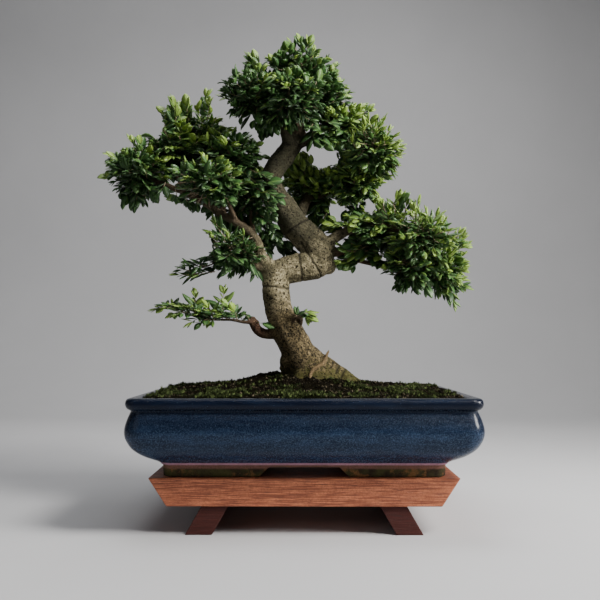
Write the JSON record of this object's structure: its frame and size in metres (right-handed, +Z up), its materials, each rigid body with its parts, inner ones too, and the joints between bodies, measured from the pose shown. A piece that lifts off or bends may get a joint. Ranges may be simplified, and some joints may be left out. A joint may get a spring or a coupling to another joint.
{
  "type": "chinese elm bonsai",
  "caption": "Potted elm bonsai with an S-shaped trunk and clouds of small leaves, in a low oval-cornered glazed pot of mossy soil on a wooden stand with splayed legs.",
  "frame": {"origin": "on the ground, under the middle of the whole object's box", "axes": "+Z up, +X to the viewer's right, seen from the front along +Y"},
  "size_m": [0.4996, 0.304, 0.6443],
  "materials": {
    "board_wood": "satin",
    "leg_wood": "satin",
    "glazed_clay": "glossy glaze",
    "screen_plastic": "matte",
    "mossy_soil": "rough, with moss",
    "bark": "matte bark",
    "leaf": "slightly glossy leaf"
  },
  "bodies": {
    "root": {"stand_board": "board_wood", "stand_leg_left": "leg_wood", "stand_leg_right": "leg_wood", "pot": "glazed_clay", "drain_screen_left": "screen_plastic", "drain_screen_right": "screen_plastic", "soil": "mossy_soil", "trunk": "bark", "leaves_left_tip": "leaf", "leaves_left_upper": "leaf", "leaves_left_inner": "leaf", "leaves_left_near": "leaf", "leaves_left_mid": "leaf", "leaves_left_low": "leaf", "leaves_left_back": "leaf", "leaves_crown_top": "leaf", "leaves_crown_left": "leaf", "leaves_crown_right": "leaf", "leaves_crown_front": "leaf", "leaves_crown_back": "leaf", "leaves_shoulder_top": "leaf", "leaves_shoulder": "leaf", "leaves_shoulder_low": "leaf", "leaves_shoulder_back": "leaf", "leaves_rear": "leaf", "leaves_right_inner": "leaf", "leaves_right_top": "leaf", "leaves_right_tip": "leaf", "leaves_right_low": "leaf", "leaves_right_back": "leaf", "leaves_knee": "leaf", "lowest_branch": "leaf", "knee_twig": "leaf", "trunk_shoot": "leaf"}
  },
  "joints": []
}
